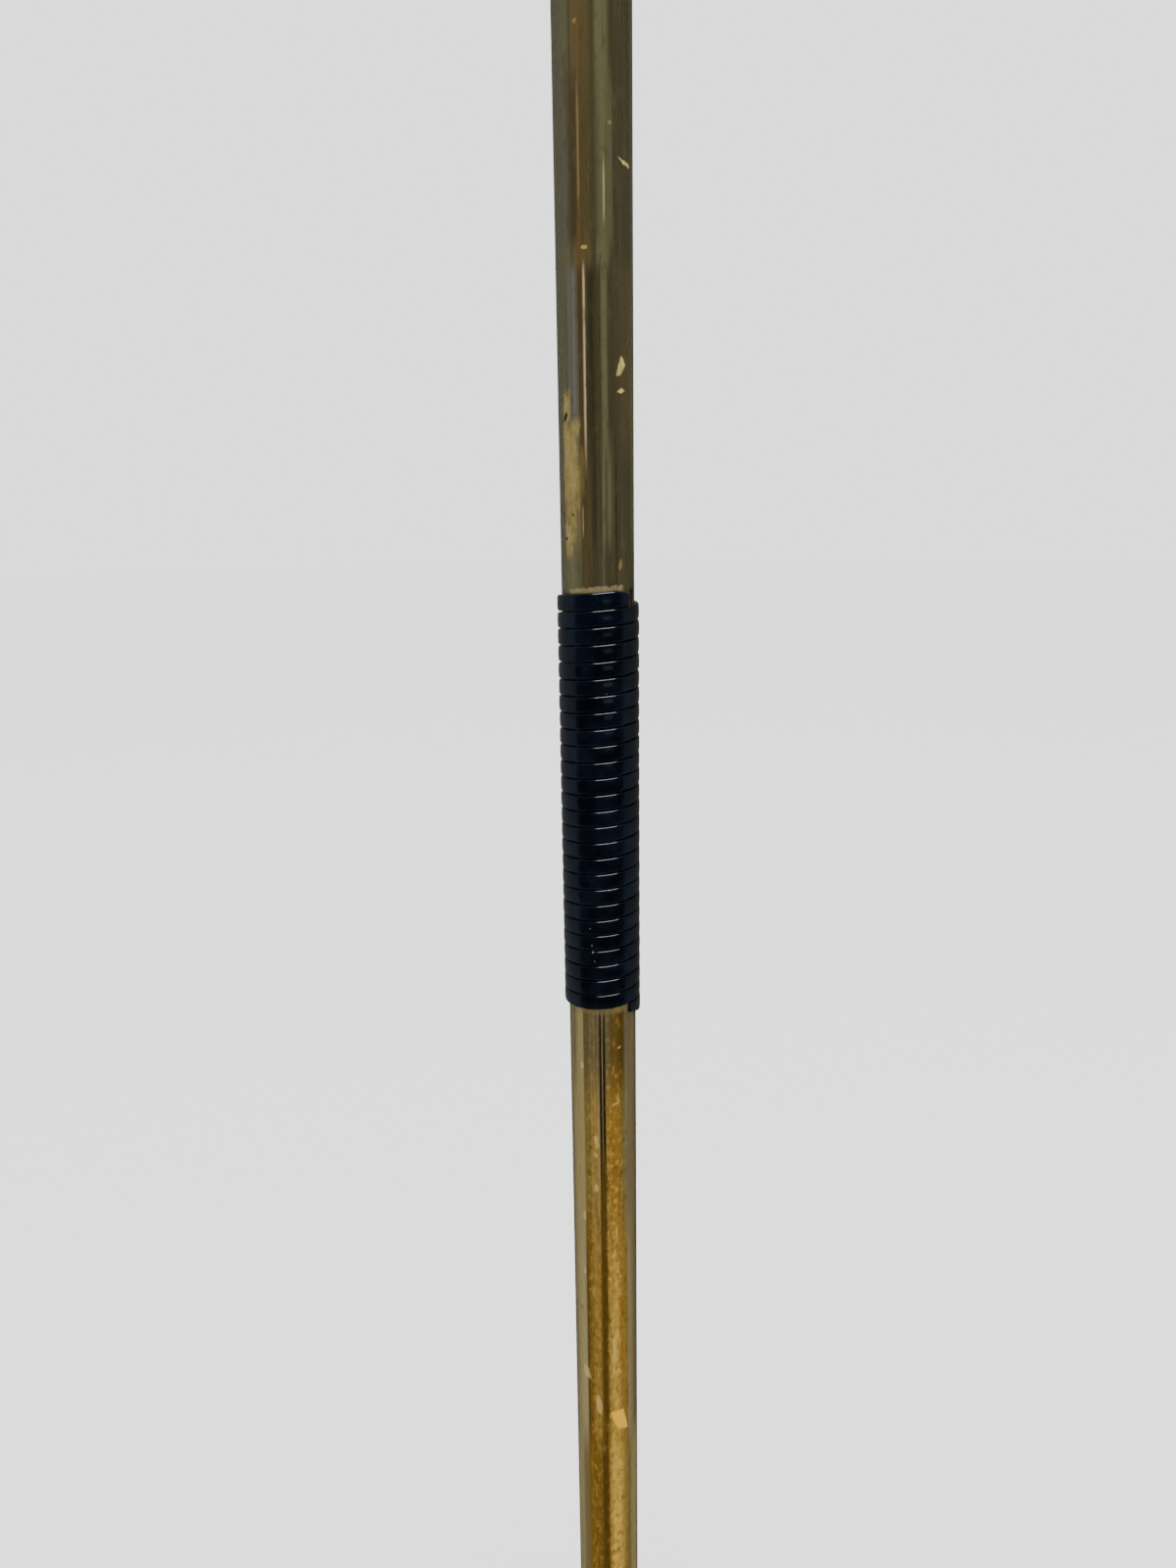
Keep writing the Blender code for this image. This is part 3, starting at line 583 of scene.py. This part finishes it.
def black_strip():
    """Glossy black plastic with a few specks of dust."""
    g = material_graph("black_strip")
    cloud = g.noise(g.scaled(1, 1, 1), 120.0, 3.0, 0.6)
    fine = g.noise(g.scaled(1, 1, 2), 1400.0, 3.0, 0.6)
    colour = g.mix(g.step(cloud, 0.35, 0.7), (0.0008, 0.0012, 0.0030), (0.0022, 0.0036, 0.0085))
    arc = g.degrees_right()
    specks = ((-14.5, 0.5030, 1.2), (-15.5, 0.5057, 0.8), (-12.0, 0.4995, 0.7), (11.0, 0.5269, 0.8),
              (-18.0, 0.5122, 0.6), (10.0, 0.5985, 0.6))
    dust = any_of(g, [scuff(g, arc, g.z, angle, height, 1.3 * size, 0.0003 * size)
                      for angle, height, size in specks])
    g.set(Base_Color=layer(g, colour, 0.8, dust, (0.180, 0.170, 0.140)))
    g.set(Roughness=g.step(fine, 0.3, 0.75, 0.10, 0.18), Specular_IOR_Level=0.5)
    g.set(Normal=g.bump(g.add(g.mul(cloud, 0.7), g.mul(fine, 0.3)), 0.00003, 0.25))
    return g.owner


def paint(node, material):
    slots = NODES[node].data.materials
    if not slots:
        slots.append(material)
    for index in range(len(slots)):
        slots[index] = material


TUBE_BRASS = tube_brass()
HEAD_BRASS = turned_brass("head_brass", UMBER, (0.130, 0.106, 0.044), GOLD, 0.30)
BASE_BRASS = turned_brass("base_brass", (0.120, 0.076, 0.020), (0.250, 0.168, 0.050), GOLD, 0.80)
IRON = plain("iron_finish", (0.020, 0.019, 0.018), (0.045, 0.040, 0.036), 260.0, 0.65, 0.85, 0.3, 0.0004)
ZINC = plain("zinc_finish", (0.34, 0.34, 0.33), (0.48, 0.48, 0.46), 300.0, 0.32, 0.5, 1.0, 0.00006)
RUBBER = plain("rubber_finish", (0.014, 0.014, 0.014), (0.028, 0.027, 0.026), 200.0, 0.7, 0.9, 0.0, 0.0002)
NYLON = plain("nylon_finish", (0.40, 0.36, 0.26), (0.56, 0.52, 0.40), 200.0, 0.42, 0.58, 0.0, 0.00005)
STRIP = black_strip()

FINISHES = {"aged_brass": HEAD_BRASS, "turned_brass": HEAD_BRASS, "cast_iron": IRON, "zinc_steel": ZINC,
            "black_rubber": RUBBER, "white_nylon": NYLON, "black_strip": STRIP}
SLOTS = {row["node"]: row["material_slot"] for row in frame["record"]["subparts"]}
LOOKS = {node: FINISHES[slot] for node, slot in SLOTS.items()}
LOOKS.update(pole_tube=TUBE_BRASS, base_cover=BASE_BRASS, base_collar=BASE_BRASS)
for node in NODES:
    paint(node, LOOKS[node])


# ---------------------------------------------------------------- smooth and finer pieces
def soften(node):
    """Joins the node's loose triangles for shading, with its sharp edges left sharp."""
    made = NODES[node]
    custom = made.data.attributes.get("custom_normal")
    if custom:
        made.data.attributes.remove(custom)
    made.data.shade_smooth()
    weld = made.modifiers.new("weld", "WELD")
    weld.merge_threshold = 0.000002
    split = made.modifiers.new("split", "EDGE_SPLIT")
    split.split_angle = SHARP
    split.use_edge_sharp = False


def section(node, azimuth):
    """Outline (radius, height) of a turned node in the half plane at an azimuth, and whether it closes."""
    made = NODES[node]
    spin = Matrix.Rotation(-math.radians(azimuth), 4, "Z") @ made.matrix_world
    spots = [spin @ v.co for v in made.data.vertices]
    keys = [(round(p.x, 6), round(p.z, 6)) if abs(p.y) < ON_AXIS and p.x > -ON_AXIS else None for p in spots]
    links = {}
    for edge in made.data.edges:
        a, b = (keys[i] for i in edge.vertices)
        if a and b and a != b and max(a[0], b[0]) > ON_AXIS:
            links.setdefault(a, set()).add(b)
            links.setdefault(b, set()).add(a)
    ends = sorted(key for key, near in links.items() if len(near) == 1)
    here = ends[0] if ends else max(links)
    outline = [here]
    while True:
        onward = sorted(key for key in links[here] if key not in outline)
        if not onward:
            return [Vector(key) for key in outline], not ends
        here = onward[0]
        outline.append(here)


def rounded(outline, closed, cuts=3):
    """The outline with its arcs drawn finer: each chord between gentle corners becomes a curve."""
    count = len(outline)
    ways = []
    for i in range(count):
        back = outline[i] - outline[i - 1] if closed or i else None
        ahead = outline[(i + 1) % count] - outline[i] if closed or i < count - 1 else None
        way = None
        if back and ahead and back.angle(ahead) < SHARP:
            if max(back.length, ahead.length) > 2.6 * min(back.length, ahead.length):
                way = max(back, ahead, key=lambda v: v.length).normalized()
            else:
                way = (back / back.length**2 + ahead / ahead.length**2).normalized()
        ways.append(way)
    finer = []
    for i in range(count if closed else count - 1):
        a, b = outline[i], outline[(i + 1) % count]
        chord = b - a
        finer.append(a)
        start, end = ways[i] or chord.normalized(), ways[(i + 1) % count] or chord.normalized()
        if start.angle(chord) < 0.01 and end.angle(chord) < 0.01:
            continue
        for k in range(1, cuts):
            t = k / cuts
            spot = a * (2 * t**3 - 3 * t**2 + 1) + b * (3 * t**2 - 2 * t**3)
            spot += (start * (t**3 - 2 * t**2 + t) + end * (t**3 - t**2)) * chord.length
            finer.append(spot)
    return finer if closed else finer + [outline[-1]]


def piece(name, shape, node, body):
    """A finished object from a bmesh, in place of a node, riding a body."""
    bmesh.ops.recalc_face_normals(shape, faces=shape.faces[:])
    mesh = bpy.data.meshes.new(name)
    shape.to_mesh(mesh)
    shape.free()
    mesh.shade_smooth()
    mesh.set_sharp_from_angle(angle=SHARP)
    made = bpy.data.objects.new(name, mesh)
    bpy.context.scene.collection.objects.link(made)
    mesh.materials.append(LOOKS[node])
    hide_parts(node)
    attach(made, body)
    return made


def tube_faces(shape, loops, closed):
    """Faces from each loop of vertices to the next; a loop of one vertex is a point on the axis."""
    steps = max(len(loop) for loop in loops)
    pairs = list(zip(loops, loops[1:])) + ([(loops[-1], loops[0])] if closed else [])
    for a, b in pairs:
        for k in range(steps):
            n = (k + 1) % steps
            corners = list(dict.fromkeys([a[k % len(a)], a[n % len(a)], b[n % len(b)], b[k % len(b)]]))
            if len(corners) > 2:
                shape.faces.new(corners)


def turned_piece(node, body, steps=112, azimuth=0):
    """A turned node drawn again with more steps, from its own outline."""
    outline, closed = section(node, azimuth)
    outline = rounded(outline, closed)
    shape = bmesh.new()
    turns = [2 * math.pi * k / steps for k in range(steps)]
    loops = []
    for r, z in outline:
        if r > ON_AXIS:
            loops.append([shape.verts.new((r * math.cos(t), r * math.sin(t), z)) for t in turns])
        else:
            loops.append([shape.verts.new((0.0, 0.0, z))])
    tube_faces(shape, loops, closed)
    return piece(node + "_fine", shape, node, body)


def ring_piece(node, body):
    """A rope ring drawn again as a finer torus about X."""
    low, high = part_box(node)
    centre, wire = (low + high) / 2, (high.x - low.x) / 2
    radius = (high.z - low.z) / 2 - wire
    steps, wire_steps = 96, 24
    shape = bmesh.new()
    loops = []
    for i in range(steps):
        t = 2 * math.pi * i / steps
        out = Vector((0.0, math.cos(t), math.sin(t)))
        turns = [2 * math.pi * k / wire_steps for k in range(wire_steps)]
        spots = [centre + out * (radius + wire * math.cos(u)) + X_AXIS * wire * math.sin(u) for u in turns]
        loops.append([shape.verts.new(spot) for spot in spots])
    tube_faces(shape, loops, True)
    return piece(node + "_fine", shape, node, body)


for node in NODES:
    soften(node)
for node, steps in (("floor_ring", 160), ("base_cover", 192), ("pole_tube", 160), ("neck_ferrule", 112),
                    ("lower_washer", 112), ("upper_washer", 112), ("finial_base", 112), ("finial_ball", 112)):
    turned_piece(node, "stand", steps)
turned_piece("ring_collar", "swivel", azimuth=90)
ring_piece("rope_ring_right", "right_ring")
ring_piece("rope_ring_left", "left_ring")


# ---------------------------------------------------------------- the wound grip
def edge_points(height, radius, start):
    """Points (height, radius) of a rounded edge: a quarter circle about a centre, from a start in degrees."""
    angles = [math.radians(start + 90 * k / 6) for k in range(7)]
    return [(height + STRIP_EDGE * math.sin(t), radius + STRIP_EDGE * math.cos(t)) for t in angles]


def strip_section(turn):
    """The strip's outline (height, radius) after a number of turns from its lower end."""
    from_start = turn * 360.0
    from_end = STRIP_TURNS * 360.0 - from_start
    wobble = 0.00005 * math.sin(1.7 * turn + 0.6) + 0.00003 * math.sin(4.3 * turn)
    low = STRIP_START + STRIP_PITCH * turn + wobble + STRIP_GAP / 2
    high = low + STRIP_PITCH - STRIP_GAP
    # the lower end hangs a little low, with its corner cut off and its edge frayed
    low += 0.0026 * max(0.0, 1.0 - from_start / 30.0)
    low -= 0.0008 * max(0.0, min(1.0, (100.0 - from_start) / 50.0))
    if from_start < 45.0:
        low += 0.00016 * math.sin(from_start * 0.7)
    # the upper end's corner is cut off
    high -= 0.0014 * max(0.0, 1.0 - from_end / 20.0)
    face = STRIP_OUTER + 0.00003 * math.sin(2.9 * turn + 1.0)
    middle, half_flat = (low + high) / 2, (high - low) / 2 - STRIP_EDGE
    outline = [(low + 0.00025, STRIP_INNER)]
    outline += edge_points(low + STRIP_EDGE, face - STRIP_EDGE, -90)
    for k in range(1, 6):
        across = -1.0 + k / 3
        outline.append((middle + across * half_flat, face - 0.00004 + STRIP_CROWN * (1.0 - across**2)))
    outline += edge_points(high - STRIP_EDGE, face - STRIP_EDGE, 0)
    outline.append((high - 0.00025, STRIP_INNER))
    return outline


def strip_mesh():
    """The strip, crowned and round-edged, wound as a right-handed helix."""
    steps = 96
    shape = bmesh.new()
    loops = []
    for i in range(steps * STRIP_TURNS + 1):
        turn = i / steps
        angle = STRIP_END + 2 * math.pi * turn
        x, y = math.cos(angle), math.sin(angle)
        loops.append([shape.verts.new((r * x, r * y, z)) for z, r in strip_section(turn)])
    tube_faces(shape, loops, False)
    shape.faces.new(list(reversed(loops[0])))
    shape.faces.new(loops[-1])
    bmesh.ops.recalc_face_normals(shape, faces=shape.faces[:])
    mesh = bpy.data.meshes.new("grip_strip")
    shape.to_mesh(mesh)
    shape.free()
    mesh.shade_smooth()
    mesh.set_sharp_from_angle(angle=math.radians(50))
    mesh.materials.append(STRIP)
    return mesh


grip = bpy.data.objects.new("grip_strip", strip_mesh())
bpy.context.scene.collection.objects.link(grip)
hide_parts("grip_wrap")
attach(grip, "stand")


# ---------------------------------------------------------------- floor, light and camera
def floor():
    """A wide pale disc, just under the rubber ring."""
    mesh = bpy.data.meshes.new("floor")
    shape = bmesh.new()
    bmesh.ops.create_circle(shape, cap_ends=True, segments=64, radius=FLOOR_RADIUS)
    shape.to_mesh(mesh)
    shape.free()
    made = bpy.data.objects.new("floor", mesh)
    bpy.context.scene.collection.objects.link(made)
    made.location.z = -FLOOR_DROP
    finish = bpy.data.materials.new("floor_finish")
    finish.use_nodes = True
    shader = finish.node_tree.nodes["Principled BSDF"]
    shader.inputs["Base Color"].default_value = (0.86, 0.89, 0.88, 1.0)
    shader.inputs["Roughness"].default_value = 0.9
    shader.inputs["Specular IOR Level"].default_value = 0.1
    made.data.materials.append(finish)
    made.visible_glossy = False


def world():
    """Even pale light. Gloss sees a dim room in front, lit walls at the sides and a warm floor below."""
    made = bpy.data.worlds.new("studio")
    bpy.context.scene.world = made
    g = Graph(made, "Generated")
    flat = g.math("SQRT", g.add(g.add(g.mul(g.x, g.x), g.mul(g.y, g.y)), 0.0001))
    front = g.math("DIVIDE", g.mul(g.y, -1.0), flat)
    aside = g.math("DIVIDE", g.x, flat)
    right = g.step(aside, -0.2, 0.2)
    side = g.step(front, 0.46, 0.22)
    rear = g.step(front, 0.10, -0.60)
    down = g.step(g.z, -0.43, -0.62)
    room = g.mix(down, (0.009, 0.011, 0.016), (0.10, 0.085, 0.065))
    walls = g.mix(rear, g.mix(right, (0.205, 0.260, 0.305), (0.150, 0.195, 0.235)),
                  g.mix(right, (0.210, 0.215, 0.220), (0.138, 0.134, 0.120)))
    gloss = g.mix(side, room, walls)
    glow = g.mul(g.mul(g.step(aside, 0.16, 0.28), g.step(aside, 0.66, 0.54)), g.step(front, 0.0, 0.2))
    glow = g.mul(glow, g.mul(g.step(g.z, -0.135, -0.105), g.step(g.z, -0.050, -0.080)))
    gloss = g.mix(glow, gloss, (0.60, 0.76, 0.88))
    gloss = g.mix(g.step(g.z, 0.60, 0.90), gloss, (0.22, 0.23, 0.24))
    path = g.node("ShaderNodeLightPath")
    shown = g.mix(path.outputs["Is Camera Ray"], (0.50, 0.51, 0.51), BACKDROP)
    g.plug(g.mix(path.outputs["Is Glossy Ray"], shown, gloss), g.tree.nodes["Background"].inputs["Color"])


def area_light(name, place, width, height, power, colour, diffuse):
    """A rectangular light aimed at the grip, seen by diffuse surfaces or else by gloss only."""
    data = bpy.data.lights.new(name, "AREA")
    data.shape = "RECTANGLE"
    data.size, data.size_y = width, height
    data.energy = power
    data.color = colour
    made = bpy.data.objects.new(name, data)
    bpy.context.scene.collection.objects.link(made)
    made.location = place
    made.rotation_mode = "QUATERNION"
    made.rotation_quaternion = (LIGHT_TARGET - Vector(place)).to_track_quat("-Z", "Y")
    made.visible_diffuse = diffuse
    made.visible_glossy = not diffuse


def camera():
    """In front of the post, looking down at the grip, a little to the left and slightly rolled."""
    data = bpy.data.cameras.new("camera")
    data.lens = CAMERA_LENS
    data.sensor_width = 36.0
    data.clip_start = 0.02
    data.clip_end = 60.0
    made = bpy.data.objects.new("camera", data)
    bpy.context.scene.collection.objects.link(made)
    made.location = (CAMERA_ASIDE, -CAMERA_DISTANCE, CAMERA_HEIGHT)
    level = math.radians(90)
    aim = Matrix.Rotation(level - CAMERA_TILT, 3, "X") @ Matrix.Rotation(-CAMERA_ROLL, 3, "Z")
    made.rotation_euler = aim.to_euler()
    bpy.context.scene.camera = made


def overhead():
    """Soft light from the whole ceiling, which gloss doesn't see as a lamp."""
    data = bpy.data.lights.new("overhead", "SUN")
    data.energy = 5.5
    data.angle = math.radians(80)
    data.color = (1.0, 1.0, 0.99)
    made = bpy.data.objects.new("overhead", data)
    bpy.context.scene.collection.objects.link(made)
    made.visible_glossy = False


floor()
world()
overhead()
area_light("window", (0.34, -1.65, 2.30), 2.3, 1.3, 30.0, (0.95, 0.98, 1.0), True)
area_light("window_gleam", (0.22, -0.72, 2.28), 1.5, 0.45, 50.0, (0.86, 0.95, 1.0), False)
camera()
